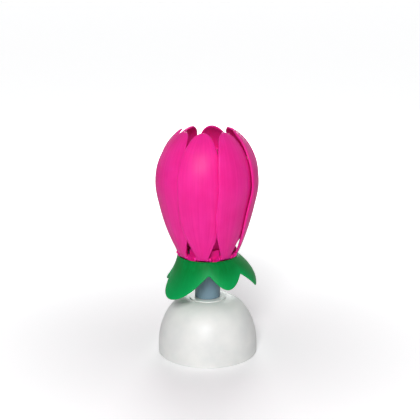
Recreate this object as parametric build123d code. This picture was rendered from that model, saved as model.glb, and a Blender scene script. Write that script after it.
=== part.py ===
"""Flower-shaped party candle: a lotus bud that opens, turns and plays a tune.

Millimetres, +Z up, origin at the middle of the foot, front towards -Y.
Eight outer petals hinge outwards on a turning hub, each with a small candle,
round an inner bud with a fountain. A motor in the base turns the spindle
through a gear train. A plunger that the closed petals hold down is the switch.
"""
from build123d import *

import os
from math import acos, asin, atan2, cos, degrees, hypot, radians, sin

os.makedirs("parts", exist_ok=True)

# Fits that the whole part uses
fit = 0.05
seat_gap = 0.3
overrun = 1.0

# Outer petals: height, bulge, width and turn of each cross section, as shares
petal_count = 8
first_petal_angle = -99
open_angle = 80
petal_height = 72.6
petal_wall = 1.2
belly_r = 29.0
belly_half_w = 12.2
pinwheel_angle = 5.3
cross_share = 0.95
outer_petal_shares = [
    (0.0, 0.0, 0.0, 0.0),
    (0.033, 0.088, 0.03, 0.0),
    (0.11, 0.28, 0.31, 0.74),
    (0.248, 0.565, 0.76, 1.0),
    (0.40, 0.807, 0.98, 1.0),
    (0.565, 1.0, 1.0, 1.0),
    (0.716, 0.933, 0.967, 1.0),
    (0.84, 0.66, 0.735, 1.0),
    (0.923, 0.33, 0.425, 1.0),
    (0.975, 0.0, 0.10, 1.0),
    (1.0, -0.2, -0.22, 1.0),
]

# Petal hinge: a pin through the petal's knuckle, held in two ears of the hub
rim_z = 58.6
rim_r = 17.4
hinge_inset = 1.0
hinge_rise = 1.6
petal_lift = 0.4
petal_base_out = 0.65
pin_r = 0.5
knuckle_r = 1.05
knuckle_half_w = 3.35
ear_r = 1.1
ear_gap = 0.4
ear_wall = 1.1
ear_foot = 1.2
heel_length = 4.4
heel_width = 2.4
heel_wall = 1.0

# Small candles in cups that stand upright once the petals are open
candle_reach = 52.5
candle_r = 2.8
candle_length = 13.0
candle_crown = 0.9
cup_wall = 0.9
cup_height = 4.0
cup_floor = 1.2
cup_embed = 6.0
cup_reach = 11.0
wick_r = 0.5
wick_length = 8.5
wick_socket = 4.0

# Hub and the carrier above it
hub_r = 12.4
hub_plate = 1.6
hub_wall = 1.0
hub_wall_gap = 0.3
hub_wall_height = 6.6
heel_slot_gap = 0.35
post_count = 3
post_r = 1.6
post_ring_r = 9.2
post_angle = 30
carrier_r = 11.0
carrier_wall = 1.2
carrier_gap = 0.4

# Inner bud: six fixed petals with feet on the carrier
inner_count = 6
inner_first_angle = -75
inner_height = 43.3
inner_wall = 1.2
inner_base_r = 10.6
inner_belly_gap = 6.4
inner_base_half_w = 4.5
inner_belly_half_w = 13.6
inner_pinwheel_angle = 4.8
inner_foot_length = 3.2
inner_foot_half_w = 2.6
inner_foot_wall = 1.0
inner_petal_shares = [
    (0.0, 0.0, 0.0, 0.0),
    (0.05, 0.19, 0.12, 0.0),
    (0.12, 0.43, 0.32, 0.3),
    (0.24, 0.68, 0.58, 0.8),
    (0.40, 0.885, 0.84, 1.0),
    (0.58, 1.0, 1.0, 1.0),
    (0.76, 0.912, 0.846, 1.0),
    (0.90, 0.662, 0.45, 1.0),
    (0.97, 0.434, 0.01, 1.0),
    (1.0, 0.28, -0.32, 1.0),
]

# Fountain in the middle of the inner bud
fountain_r = 5.0
fountain_wall = 0.9
fountain_height = 40.0
fountain_cup_wall = 1.1
fountain_cup_height = 12.0
charge_drop = 3.0
fuse_r = 0.7
fuse_rise = 7.0
fuse_socket = 6.0

# Calyx: a thin dish with a drooping skirt, cut into uneven lobes.
# Drop, flare and sideways shift of the skirt's sections, as shares
calyx_wall = 1.0
dish_depth = 2.6
dish_r = 15.6
lip_width = 0.45
lip_drop = 1.5
lip_in = 0.35
dish_heel = 0.8
skirt_flare = 12.0
skirt_drop = 22.2
skirt_shift = 2.6
skirt_wall = 1.15
skirt_shares = [(0.0, 0.0, 0.0), (0.48, 0.565, 1.0), (1.0, 1.0, -0.85)]
notch_azimuths = [2, 52, 130, 200, 266]
notch_shares = [0.30, 0.325, 0.38, 0.38, 0.36]
lobe_tip_shares = [0.63, 0.85, 0.76, 0.91, 0.92]
lobe_round_share = 0.17

# Spindle
neck_r = 7.4
neck_flange_r = 12.6
neck_flange_wall = 1.4
journal_r = 5.0
gear_seat_r = 3.5
tail_length = 5.1
groove_depth = 0.7
clip_wall = 0.7
clip_r = 5.0
clip_drop = 0.4
clip_mouth_angle = 50

# Plunger
rod_r = 1.2
plunger_r = 12.4
plunger_wall = 1.0
plunger_boss_r = 3.1
plunger_boss_length = 6.0
plunger_travel = 2.2
post_clearance = 0.4
spring_length = 8.6
spring_wire_r = 0.3
spring_turns = 5
spring_wire_sides = 6
spring_margin = 0.25

# Hub screws
hub_screw_r = 0.75
hub_screw_head_r = 1.5
hub_screw_head = 1.1
hub_screw_bite = 4.5

# Base shell
base_margin = 2.42
base_skirt = 4.0
base_wall = 1.8
collar_r = 8.4
collar_flat_r = 10.6
collar_rise = 0.5

# Base floor and its screws
floor_wall = 2.0
floor_clearance = 0.2
column_r = 2.3
column_inset = 7.0
right_column_angle = 45
left_column_angle = 135
front_column_angle = 235
floor_screw_r = 0.9
floor_screw_head_r = 1.9
floor_screw_head = 1.0
floor_screw_length = 8.0
floor_screw_recess = 0.3
pillar_r = 1.8
pillar_x = 9.0
pillar_back_y = 15.0
lone_pillar_x = 12.0
lone_pillar_y = 8.0
peg_r = 0.8
sound_hole_r = 0.8
sound_hole_count = 6
sound_ring_r = 3.6

# Battery and its contacts
battery_r = 5.25
battery_length = 43.5
battery_nub_r = 2.7
battery_nub = 1.0
battery_y = 5.0
battery_lift = 0.4
cradle_length = 4.0
cradle_place = 13.0
cradle_half_w = 4.6
cradle_height = 3.2
contact_wall = 0.4
contact_half_w = 3.0
contact_height = 9.0
contact_bow = 1.3

# Gear train
gear_module = 0.5
drive_teeth = 36
idler_big_teeth = 36
idler_small_teeth = 12
pinion_teeth = 9
mesh_play = 0.1
tip_share = 0.9
root_share = 1.2
tooth_tip_share = 0.13
tooth_root_share = 0.30
drive_width = 3.5
idler_big_width = 1.8
pinion_width = 2.4
axle_r = 1.0
axle_seat = 2.0
axle_boss_length = 4.9
boss_r = 2.2

# Gearbox plate and switch leaves
plate_inset = 9.6
plate_wall = 1.2
plate_z = 15.6
plate_boss = 0.5
rod_window_r = 2.0
leaf_wall = 0.25
leaf_half_w = 1.5
leaf_root = 14.0
leaf_overlap = 6.0
leaf_block = 3.5
leaf_gap = 1.15

# Motor
motor_place = 15.0
motor_r = 6.0
motor_cap = 1.6
motor_cap_rim = 0.3
motor_boss_r = 1.9
motor_boss = 1.0
shaft_r = 0.75
shaft_depth = 4.0

# Circuit board, chip and buzzer
board_length = 20.0
board_width = 11.0
board_wall = 1.2
board_y = 11.5
board_lift = 0.8
spacer_r = 1.4
spacer_inset = 2.0
chip_r = 2.8
chip_height = 1.4
buzzer_margin = 1.8
buzzer_angle = -37.2
buzzer_r = 7.2
buzzer_wall = 0.3
ceramic_r = 4.8
ceramic_wall = 0.25

# Heights that follow from the sizes above
hinge_r = rim_r - hinge_inset
hinge_z = rim_z + hinge_rise
petal_foot_z = rim_z + petal_lift
petal_base_r = hinge_r + petal_base_out
candle_tilt = 90 - open_angle
inner_belly_r = belly_r - inner_belly_gap
hem_r = rim_r + skirt_flare
hem_z = rim_z - skirt_drop
hem_reach = hem_r + skirt_shift
contact_reach = battery_length / 2 + contact_bow + contact_wall
base_r = hypot(contact_reach, battery_y + contact_half_w) + base_margin + base_wall
column_ring_r = base_r - column_inset
column_angles = [right_column_angle, left_column_angle, front_column_angle]
pillar_places = [
    (pillar_x, pillar_back_y), (-pillar_x, pillar_back_y), (-lone_pillar_x, -lone_pillar_y)]
plate_r = base_r - plate_inset
buzzer_ring_r = base_r - base_wall - buzzer_margin - buzzer_r
buzzer_x = buzzer_ring_r * cos(radians(buzzer_angle))
buzzer_y = buzzer_ring_r * sin(radians(buzzer_angle))
dish_z = rim_z - dish_depth
flange_top = dish_z - calyx_wall
flange_bottom = flange_top - neck_flange_wall
hub_top = dish_z + hub_plate
plunger_top = hinge_z - heel_wall / 2 - seat_gap
carrier_z = plunger_top + plunger_travel + carrier_gap
carrier_top = carrier_z + carrier_wall
collar_foot = plate_z + plate_wall + drive_width + tail_length + seat_gap
gear_top = collar_foot - seat_gap
base_height = collar_foot + axle_boss_length + base_wall
collar_top = base_height + collar_rise
gear_foot = gear_top - drive_width
tail_z = gear_top - drive_width - clip_drop - clip_wall - groove_depth
leaf_top = plate_z - leaf_wall - leaf_gap
rod_end = leaf_top + seat_gap
boss_bottom = plunger_top - plunger_boss_length
spring_floor = boss_bottom - spring_length

# Places of the gears, seen from above
idler_distance = (drive_teeth + idler_small_teeth) * gear_module / 2 + mesh_play
motor_distance = (idler_big_teeth + pinion_teeth) * gear_module / 2 + mesh_play
idler_turn = degrees(acos(
    (motor_place ** 2 + idler_distance ** 2 - motor_distance ** 2)
    / (2 * motor_place * idler_distance)))
idler_angle = idler_turn - 90
idler_x = idler_distance * cos(radians(idler_angle))
idler_y = idler_distance * sin(radians(idler_angle))
motor_angle = degrees(atan2(-motor_place - idler_y, -idler_x))


def polar(radius, angle):
    """Point at a radius and an angle in degrees."""
    return radius * cos(radians(angle)), radius * sin(radians(angle))


def rod_shape(radius, low, high, place=(0, 0)):
    """Upright cylinder between two heights."""
    return Pos(*place, low) * Cylinder(radius, high - low, align=(Align.CENTER, Align.CENTER, Align.MIN))


def slab(x_low, x_high, y_low, y_high, z_low, z_high):
    """Block between three pairs of limits."""
    middle = Pos((x_low + x_high) / 2, (y_low + y_high) / 2, (z_low + z_high) / 2)
    return middle * Box(x_high - x_low, y_high - y_low, z_high - z_low)


def turned(points):
    """Solid turned about Z from radius and height pairs."""
    outline = Polyline(*[(radius, 0, height) for radius, height in points], close=True)
    return revolve(make_face(outline), Axis.Z)


def crescent(radius, half_w, height, turn, skin_from, skin_to):
    """Curved section of a petal, between two depths under its outer face."""
    bend = radius * cross_share
    centre = radius - bend
    half_angle = degrees(asin(half_w / bend))

    def arc(depth, start):
        low, middle, high = [
            Vector(centre + x, y) for x, y in
            (polar(bend - depth, start), polar(bend - depth, 0), polar(bend - depth, -start))]
        return ThreePointArc(low, middle, high)

    outer = arc(skin_from, -half_angle)
    inner = arc(skin_to, half_angle)
    face = make_face([outer, Line(outer @ 1, inner @ 0), inner, Line(inner @ 1, outer @ 0)])
    return Pos(radius, 0, height) * Rot(0, 0, turn) * Pos(-radius, 0, 0) * face


def petal_shell(shares, foot, height, radii, half_widths, turn, skin_from, skin_to):
    """Loft through the crescents that a table of shares describes."""
    base, belly = radii
    narrow, wide = half_widths
    sections = [
        crescent(
            base + bulge * (belly - base),
            narrow + width * (wide - narrow),
            foot + share * height,
            twist * turn,
            skin_from,
            skin_to,
        )
        for share, bulge, width, twist in shares
    ]
    return loft(sections)


def outer_shell(skin_from, skin_to):
    """Outer petal's skin, or a slice of the space inside it."""
    return petal_shell(
        outer_petal_shares,
        petal_foot_z,
        petal_height,
        (petal_base_r, belly_r),
        (knuckle_half_w, belly_half_w),
        pinwheel_angle,
        skin_from,
        skin_to,
    )


def outer_radius(height):
    """Radius of the outer petal's middle line at a height."""
    share = (height - petal_foot_z) / petal_height
    for low, high in zip(outer_petal_shares, outer_petal_shares[1:]):
        if low[0] <= share <= high[0]:
            part = (share - low[0]) / (high[0] - low[0])
            bulge = low[1] + part * (high[1] - low[1])
            return petal_base_r + bulge * (belly_r - petal_base_r)
    return petal_base_r


def candle_seat():
    """Plane on the petal's inner face whose Z is the small candle's axis."""
    height = hinge_z + candle_reach
    inward = Vector(-cos(radians(candle_tilt)), 0, sin(radians(candle_tilt)))
    return Plane(origin=(outer_radius(height) - petal_wall, 0, height), x_dir=(0, 1, 0), z_dir=inward)


def make_petal():
    """Outer petal with its knuckle, heel and candle cup, facing +X."""
    seat = candle_seat()
    across = Plane(origin=(hinge_r, -knuckle_half_w, hinge_z), z_dir=(0, 1, 0))
    knuckle = across * Cylinder(
        knuckle_r, 2 * knuckle_half_w, align=(Align.CENTER, Align.CENTER, Align.MIN))
    heel = slab(
        hinge_r - heel_length, hinge_r, -heel_width / 2, heel_width / 2,
        hinge_z - heel_wall / 2, hinge_z + heel_wall / 2)
    cup = seat * rod_shape(candle_r + fit + cup_wall, -cup_embed, cup_height)
    cup &= outer_shell(petal_wall / 2, petal_wall / 2 + cup_reach)
    bore = seat * rod_shape(candle_r + fit, cup_floor, cup_height + overrun)
    pin_hole = Plane(origin=(hinge_r, -belly_half_w, hinge_z), z_dir=(0, 1, 0)) * Cylinder(
        pin_r + fit, 2 * belly_half_w, align=(Align.CENTER, Align.CENTER, Align.MIN))
    return outer_shell(0, petal_wall) + knuckle + heel + cup - bore - pin_hole


def make_candle():
    """Small candle with a rounded top and a hole for its wick."""
    top = cup_floor + candle_length
    wax = rod_shape(candle_r, cup_floor, top)
    wax = fillet(wax.edges().group_by(Axis.Z)[-1], candle_crown)
    wax -= rod_shape(wick_r, top - wick_socket, top + overrun)
    return candle_seat() * wax


def make_wick():
    """Wick that stands in the candle's hole."""
    low = cup_floor + candle_length - wick_socket
    return candle_seat() * rod_shape(wick_r, low, low + wick_length)


def petal_angles():
    """Directions of the outer petals, counted to the right of the front one."""
    return [first_petal_angle + 360 * index / petal_count for index in range(petal_count)]


def make_hinge_pins():
    """One pin for each petal, through both ears and the knuckle."""
    reach = knuckle_half_w + ear_gap + ear_wall
    pin = Plane(origin=(hinge_r, -reach, hinge_z), z_dir=(0, 1, 0)) * Cylinder(
        pin_r, 2 * reach, align=(Align.CENTER, Align.CENTER, Align.MIN))
    return [Rot(0, 0, angle) * pin for angle in petal_angles()]


def make_ear():
    """Ear that holds one end of a hinge pin, seen along the pin."""
    eye = Pos(hinge_r, hinge_z) * Circle(ear_r)
    foot = Pos(hub_r - ear_foot / 2, dish_z + hub_plate / 2) * Rectangle(ear_foot, hub_plate)
    outline = make_hull((eye + foot).edges()) - Pos(hinge_r, hinge_z) * Circle(pin_r)
    upright = Plane(origin=(0, 0, 0), x_dir=(1, 0, 0), z_dir=(0, -1, 0))
    return extrude(upright * outline, ear_wall)


def make_hub():
    """Turning hub: plate, slotted wall, ears for the petals, posts for the carrier."""
    hub = rod_shape(hub_r, dish_z, hub_top)
    ear = make_ear()
    inner_face = knuckle_half_w + ear_gap
    for angle in petal_angles():
        hub += Rot(0, 0, angle) * Pos(0, -inner_face, 0) * ear
        hub += Rot(0, 0, angle) * Pos(0, inner_face + ear_wall, 0) * ear
    inner_r = plunger_r + hub_wall_gap
    wall = rod_shape(inner_r + hub_wall, dish_z, hub_top + hub_wall_height)
    wall -= rod_shape(inner_r, hub_top, hub_top + hub_wall_height + overrun)
    slot_half_w = heel_width / 2 + heel_slot_gap
    slot = slab(0, hinge_r, -slot_half_w, slot_half_w, hub_top, hub_top + hub_wall_height + overrun)
    for angle in petal_angles():
        wall -= Rot(0, 0, angle) * slot
    hub += wall
    for place in post_places():
        hub += rod_shape(post_r, hub_top, carrier_z, place)
        hub -= rod_shape(hub_screw_r, dish_z - overrun, flange_bottom + hub_screw_bite + hub_plate, place)
    return hub - rod_shape(spring_bore_r(), dish_z - overrun, hub_top + overrun)


def post_places():
    """Places of the posts that carry the inner bud."""
    return [polar(post_ring_r, post_angle + 360 * index / post_count) for index in range(post_count)]


def spring_bore_r():
    """Bore that guides the plunger's boss."""
    return plunger_boss_r + fit


def make_hub_screws():
    """Screws from under the spindle's flange into the posts."""
    top = flange_bottom + hub_screw_bite + hub_plate
    return [
        rod_shape(hub_screw_head_r, flange_bottom - hub_screw_head, flange_bottom, place)
        + rod_shape(hub_screw_r, flange_bottom, top, place)
        for place in post_places()
    ]


def make_spindle():
    """Spindle: neck, flange, journal, gear seat and a grooved tail."""
    groove_top = gear_foot - clip_drop / 2
    groove_foot = groove_top - clip_wall - fit
    spindle = turned([
        (rod_r + fit, tail_z),
        (gear_seat_r, tail_z),
        (gear_seat_r, groove_foot),
        (gear_seat_r - groove_depth, groove_foot),
        (gear_seat_r - groove_depth, groove_top),
        (gear_seat_r, groove_top),
        (gear_seat_r, gear_top),
        (journal_r, gear_top),
        (journal_r, collar_top + seat_gap),
        (neck_r, collar_top + seat_gap),
        (neck_r, flange_bottom),
        (neck_flange_r, flange_bottom),
        (neck_flange_r, flange_top),
        (spring_bore_r(), flange_top),
        (spring_bore_r(), spring_floor),
        (rod_r + fit, spring_floor),
    ])
    for place in post_places():
        spindle -= rod_shape(hub_screw_r, flange_bottom - overrun, flange_top + overrun, place)
    return spindle


def make_clip():
    """Spring clip in the groove of the spindle's tail."""
    top = gear_foot - clip_drop / 2 - fit / 2
    clip = rod_shape(clip_r, top - clip_wall, top)
    clip -= rod_shape(gear_seat_r - groove_depth, top - clip_wall - overrun, top + overrun)
    side = 2 * clip_r
    half = clip_mouth_angle / 2
    mouth = Polygon((0, 0), polar(side, half), polar(side, -half), align=None)
    return clip - Pos(0, 0, top - clip_wall - overrun) * extrude(mouth, clip_wall + 2 * overrun)


def make_calyx():
    """Dish under the petals with a skirt that droops in uneven lobes."""
    outside, inside = [], []
    for drop, flare, shift in skirt_shares:
        radius = rim_r + flare * skirt_flare
        place = Pos(shift * skirt_shift, 0, rim_z - drop * skirt_drop)
        outside.append(place * Circle(radius))
        inside.append(place * Circle(radius - skirt_wall))
    inside[0] = Pos(0, 0, rim_z - lip_drop) * Circle(rim_r - lip_in)
    calyx = loft(outside) - loft(inside)
    calyx += turned([
        (0, flange_top),
        (dish_r + dish_heel, flange_top),
        (rim_r - lip_in, rim_z - lip_drop),
        (0, rim_z - lip_drop),
    ])
    calyx -= turned([
        (0, dish_z),
        (dish_r, dish_z),
        (rim_r - lip_width, rim_z),
        (rim_r - lip_width, rim_z + overrun),
        (0, rim_z + overrun),
    ])
    calyx -= rod_shape(spring_bore_r(), flange_top - overrun, rim_z)
    for index in range(len(notch_azimuths)):
        calyx -= make_notch(index)
    for place in post_places():
        calyx -= rod_shape(hub_screw_r, flange_top - overrun, dish_z + overrun, place)
    return calyx


def make_notch(index):
    """Cutter for the notch between two lobes, pushed out from the axis."""
    count = len(notch_azimuths)
    azimuth = notch_azimuths[index]
    apex_z = rim_z - notch_shares[index] * skirt_drop
    width_right = (notch_azimuths[(index + 1) % count] - azimuth) % 360 / 2
    width_left = (azimuth - notch_azimuths[index - 1]) % 360 / 2
    sides = []
    for width, share, sign in (
            (width_left, lobe_tip_shares[index - 1], -1), (width_right, lobe_tip_shares[index], 1)):
        tip = Vector(sign * hem_reach * sin(radians(width)), rim_z - share * skirt_drop)
        chord = tip - Vector(0, apex_z)
        bulge = Vector(chord.Y, -chord.X) * sign * lobe_round_share
        sides.append((tip, Vector(0, apex_z) + chord / 2 + bulge))
    (left, left_middle), (right, right_middle) = sides
    floor = hem_z - overrun

    def stand(point):
        return Vector(point.X, 0, point.Y)

    apex = Vector(0, 0, apex_z)
    outline = make_face([
        ThreePointArc(stand(left), stand(left_middle), apex),
        ThreePointArc(apex, stand(right_middle), stand(right)),
        Polyline(stand(right), (right.X, 0, floor), (left.X, 0, floor), stand(left)),
    ])
    return Rot(0, 0, azimuth) * extrude(outline, hem_reach + overrun, dir=(0, -1, 0))


def make_inner_petals():
    """Six fixed petals of the inner bud, each with a foot on the carrier."""
    skin = petal_shell(
        inner_petal_shares,
        carrier_top,
        inner_height,
        (inner_base_r, inner_belly_r),
        (inner_base_half_w, inner_belly_half_w),
        inner_pinwheel_angle,
        0,
        inner_wall,
    )
    foot = slab(
        inner_base_r - inner_foot_length, inner_base_r - inner_wall / 2,
        -inner_foot_half_w, inner_foot_half_w, carrier_top, carrier_top + inner_foot_wall)
    petal = skin + foot
    return [
        Rot(0, 0, inner_first_angle + 360 * index / inner_count) * petal
        for index in range(inner_count)
    ]


def make_fountain_cup():
    """Carrier disc with the cup that holds the fountain."""
    bore = fountain_r + fit
    carrier = rod_shape(carrier_r, carrier_z, carrier_top)
    cup = rod_shape(bore + fountain_cup_wall, carrier_top, carrier_top + fountain_cup_height)
    cup -= rod_shape(bore, carrier_top, carrier_top + fountain_cup_height + overrun)
    return carrier + cup


def make_fountain():
    """Paper tube, its charge and its fuse."""
    low = carrier_top
    high = low + fountain_height
    inner_r = fountain_r - fountain_wall
    tube = rod_shape(fountain_r, low, high) - rod_shape(inner_r, low, high + overrun)
    charge = rod_shape(inner_r, low, high - charge_drop)
    fuse_low = high - charge_drop - fuse_socket
    charge -= rod_shape(fuse_r, fuse_low, high + overrun)
    fuse = rod_shape(fuse_r, fuse_low, high + fuse_rise)
    return tube, charge, fuse


def make_push_rod():
    """Plunger: a flange under the petals' heels and a rod down the spindle."""
    flange = rod_shape(plunger_r, plunger_top - plunger_wall, plunger_top)
    for place in post_places():
        flange -= rod_shape(
            post_r + post_clearance, plunger_top - plunger_wall - overrun, plunger_top + overrun, place)
    boss = rod_shape(plunger_boss_r, boss_bottom, plunger_top)
    return flange + boss + rod_shape(rod_r, rod_end, boss_bottom)


def make_plunger_spring():
    """Coil spring that lifts the plunger once the petals let go."""
    mean_r = (rod_r + spring_bore_r()) / 2
    low = spring_floor + spring_margin + spring_wire_r
    rise = spring_length - 2 * (spring_margin + spring_wire_r)
    coil = Helix(pitch=rise / spring_turns, height=rise, radius=mean_r, center=(0, 0, low))
    wire = Plane(origin=coil @ 0, z_dir=coil % 0) * RegularPolygon(spring_wire_r, spring_wire_sides)
    return sweep(wire, path=coil, is_frenet=True)


def ellipse_shell(inset):
    """Profile of the base's dome, drawn in by a wall."""
    width = base_r - collar_flat_r - inset
    rise = base_height - base_skirt - inset
    dome = EllipticalCenterArc(
        (collar_flat_r, base_skirt), width, rise, arc_size=90)
    foot = -overrun if inset else 0
    rest = Polyline(
        dome @ 1, (0, base_skirt + rise), (0, foot), (base_r - inset, foot), dome @ 0)
    upright = Plane(origin=(0, 0, 0), x_dir=(1, 0, 0), z_dir=(0, -1, 0))
    return revolve(upright * make_face([dome, rest]), Axis.Z)


def make_base_shell():
    """Moulded dome with the spindle's collar and columns for the screws."""
    cavity = ellipse_shell(base_wall)
    shell = ellipse_shell(0) - cavity
    shell += rod_shape(collar_flat_r, base_height - base_wall, collar_top)
    shell += rod_shape(collar_r, collar_foot, collar_top)
    core = ellipse_shell(base_wall / 2)
    for angle in column_angles:
        column = rod_shape(column_r, floor_wall, base_height, polar(column_ring_r, angle))
        shell += column & core
    shell += rod_shape(boss_r, collar_foot, base_height - base_wall, (idler_x, idler_y))
    shell -= rod_shape(journal_r + fit, collar_foot - overrun, collar_top + overrun)
    shell -= rod_shape(axle_r + fit, gear_top, axle_top() + fit, (idler_x, idler_y))
    for angle in column_angles:
        shell -= rod_shape(
            floor_screw_r, 0, floor_screw_recess + floor_screw_length, polar(column_ring_r, angle))
    return shell


def axle_top():
    """Upper end of the idler's axle, in the boss under the dome."""
    return gear_top + seat_gap + axle_seat


def make_base_floor():
    """Floor plate with the battery's cradle, pillars and sound holes."""
    floor = rod_shape(base_r - base_wall - floor_clearance, 0, floor_wall)
    for place in pillar_places:
        floor += rod_shape(pillar_r, floor_wall, plate_z, place)
        floor += rod_shape(peg_r, plate_z, plate_z + plate_wall, place)
    for side in (-1, 1):
        middle = side * cradle_place
        floor += slab(
            middle - cradle_length / 2, middle + cradle_length / 2,
            battery_y - cradle_half_w, battery_y + cradle_half_w, floor_wall, floor_wall + cradle_height)
    floor -= battery_body(battery_r, battery_length)
    for angle in column_angles:
        place = polar(column_ring_r, angle)
        floor -= rod_shape(floor_screw_r, -overrun, floor_wall + overrun, place)
        floor -= rod_shape(floor_screw_head_r + fit, -overrun, floor_screw_recess + floor_screw_head, place)
    for index in range(sound_hole_count):
        x, y = polar(sound_ring_r, 360 * index / sound_hole_count)
        floor -= rod_shape(sound_hole_r, -overrun, floor_wall + overrun, (buzzer_x + x, buzzer_y + y))
    return floor


def battery_body(radius, length):
    """Cylinder along X on the battery's axis."""
    height = floor_wall + battery_lift + battery_r
    frame = Plane(origin=(-length / 2, battery_y, height), z_dir=(1, 0, 0))
    return frame * Cylinder(radius, length, align=(Align.CENTER, Align.CENTER, Align.MIN))


def make_battery():
    """Single cell with its raised end at +X."""
    nub_frame = Plane(
        origin=(battery_length / 2, battery_y, floor_wall + battery_lift + battery_r), z_dir=(1, 0, 0))
    nub = nub_frame * Cylinder(
        battery_nub_r, battery_nub, align=(Align.CENTER, Align.CENTER, Align.MIN))
    return battery_body(battery_r, battery_length) + nub


def make_contacts():
    """Flat plus contact and bowed minus contact, both on the floor."""
    low = floor_wall
    high = floor_wall + contact_height
    sides = (battery_y - contact_half_w, battery_y + contact_half_w)
    plus_x = battery_length / 2 + battery_nub
    plate = slab(plus_x, plus_x + contact_wall, *sides, low, high)
    root = -battery_length / 2 - contact_bow - contact_wall
    bow = ThreePointArc(
        (root, sides[0], low),
        (-battery_length / 2 - contact_wall, sides[0], (low + high) / 2),
        (root, sides[0], high))
    strip = make_face([
        bow,
        Line(bow @ 1, (root + contact_wall, sides[0], high)),
        ThreePointArc(
            (root + contact_wall, sides[0], high),
            (-battery_length / 2, sides[0], (low + high) / 2),
            (root + contact_wall, sides[0], low)),
        Line((root + contact_wall, sides[0], low), bow @ 0),
    ])
    return plate, extrude(strip, 2 * contact_half_w, dir=(0, 1, 0))


def gear(teeth, low, width, bore, tooth_angle):
    """Spur gear with one tooth centred on an angle."""
    pitch_r = teeth * gear_module / 2
    tip_r = pitch_r + tip_share * gear_module
    root_r = pitch_r - root_share * gear_module
    corners = (
        (-tooth_root_share, root_r), (-tooth_tip_share, tip_r),
        (tooth_tip_share, tip_r), (tooth_root_share, root_r))
    points = [
        polar(radius, tooth_angle + 360 * (tooth + share) / teeth)
        for tooth in range(teeth) for share, radius in corners
    ]
    outline = make_face(Polyline(*points, close=True)) - Circle(bore)
    return Pos(0, 0, low) * extrude(outline, width)


def make_gears():
    """Drive gear, idler and pinion, meshed at rest."""
    big_z = plate_z + plate_wall + plate_boss + seat_gap
    drive = gear(drive_teeth, gear_foot, drive_width, gear_seat_r, idler_angle)
    big = gear(idler_big_teeth, big_z, idler_big_width, axle_r + fit, motor_angle)
    small_z = big_z + idler_big_width
    small_gap = idler_angle + 180 + 180 / idler_small_teeth
    small = gear(idler_small_teeth, small_z, gear_top - small_z, axle_r + fit, small_gap)
    idler = Pos(idler_x, idler_y, 0) * (big + small)
    pinion_gap = motor_angle + 180 + 180 / pinion_teeth
    pinion = gear(pinion_teeth, big_z - seat_gap, pinion_width, shaft_r, pinion_gap)
    return drive, idler, Pos(0, -motor_place, 0) * pinion


def make_idler_axle():
    """Fixed pin that the idler turns on."""
    return rod_shape(axle_r, plate_z, axle_top(), (idler_x, idler_y))


def make_gearbox_plate():
    """Plate over the battery that carries the motor, the axle and the leaves."""
    top = plate_z + plate_wall
    plate = rod_shape(plate_r, plate_z, top)
    plate += rod_shape(boss_r, top, top + plate_boss, (idler_x, idler_y))
    plate += slab(
        -leaf_root, -leaf_root + leaf_block, -leaf_half_w, leaf_half_w, leaf_top, plate_z)
    for side_x in (-1, 1):
        for side_y in (-1, 1):
            place = (
                side_x * (board_length / 2 - spacer_inset),
                board_y + side_y * (board_width / 2 - spacer_inset))
            plate += rod_shape(spacer_r, top, top + board_lift, place)
    plate -= rod_shape(axle_r, plate_z - overrun, top + plate_boss + overrun, (idler_x, idler_y))
    plate -= rod_shape(motor_boss_r + fit, plate_z - overrun, top + overrun, (0, -motor_place))
    plate -= rod_shape(rod_window_r, plate_z - overrun, top + overrun)
    for place in pillar_places:
        plate -= rod_shape(peg_r, plate_z - overrun, top + overrun, place)
    return plate


def make_leaves():
    """Fixed and moving leaves of the switch."""
    fixed = slab(
        rod_window_r + seat_gap, leaf_root, -leaf_half_w, leaf_half_w, plate_z - leaf_wall, plate_z)
    moving = slab(
        -leaf_root, leaf_overlap, -leaf_half_w, leaf_half_w, leaf_top - leaf_wall, leaf_top)
    return fixed, moving


def make_motor():
    """Motor can, plastic end cap and shaft."""
    place = (0, -motor_place)
    cap_top = floor_wall + motor_cap
    can = rod_shape(motor_r, cap_top, plate_z, place)
    can += rod_shape(motor_boss_r, plate_z, plate_z + motor_boss, place)
    can -= rod_shape(shaft_r + fit, plate_z - shaft_depth - seat_gap, plate_z + motor_boss + overrun, place)
    cap = rod_shape(motor_r - motor_cap_rim, floor_wall, cap_top, place)
    pinion_top = plate_z + plate_wall + plate_boss + pinion_width
    shaft = rod_shape(shaft_r, plate_z - shaft_depth, pinion_top + seat_gap, place)
    return can, cap, shaft


def make_board():
    """Circuit board on the plate's spacers and the sealed chip on it."""
    low = plate_z + plate_wall + board_lift
    board = slab(
        -board_length / 2, board_length / 2,
        board_y - board_width / 2, board_y + board_width / 2, low, low + board_wall)
    top = low + board_wall
    bow_r = (chip_r ** 2 + chip_height ** 2) / (2 * chip_height)
    ball = Pos(0, board_y, top + chip_height - bow_r) * Sphere(bow_r)
    chip = ball & rod_shape(chip_r + overrun, top, top + chip_height + overrun, (0, board_y))
    return board, chip


def make_buzzer():
    """Brass disc on the floor and the ceramic layer on it."""
    place = (buzzer_x, buzzer_y)
    disc = rod_shape(buzzer_r, floor_wall, floor_wall + buzzer_wall, place)
    top = floor_wall + buzzer_wall
    return disc, rod_shape(ceramic_r, top, top + ceramic_wall, place)


def make_floor_screws():
    """Screws from under the floor into the shell's columns."""
    low = floor_screw_recess
    screws = []
    for angle in column_angles:
        place = polar(column_ring_r, angle)
        head = rod_shape(floor_screw_head_r, low, low + floor_screw_head, place)
        screws.append(head + rod_shape(floor_screw_r, low, low + floor_screw_length, place))
    return screws


def save(name, shape):
    """Write one node; a list becomes a group of separate solids."""
    if isinstance(shape, list):
        shape = Compound(children=[Solid(piece.solid().wrapped) for piece in shape])
    export_step(shape, f"parts/{name}.step")


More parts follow.
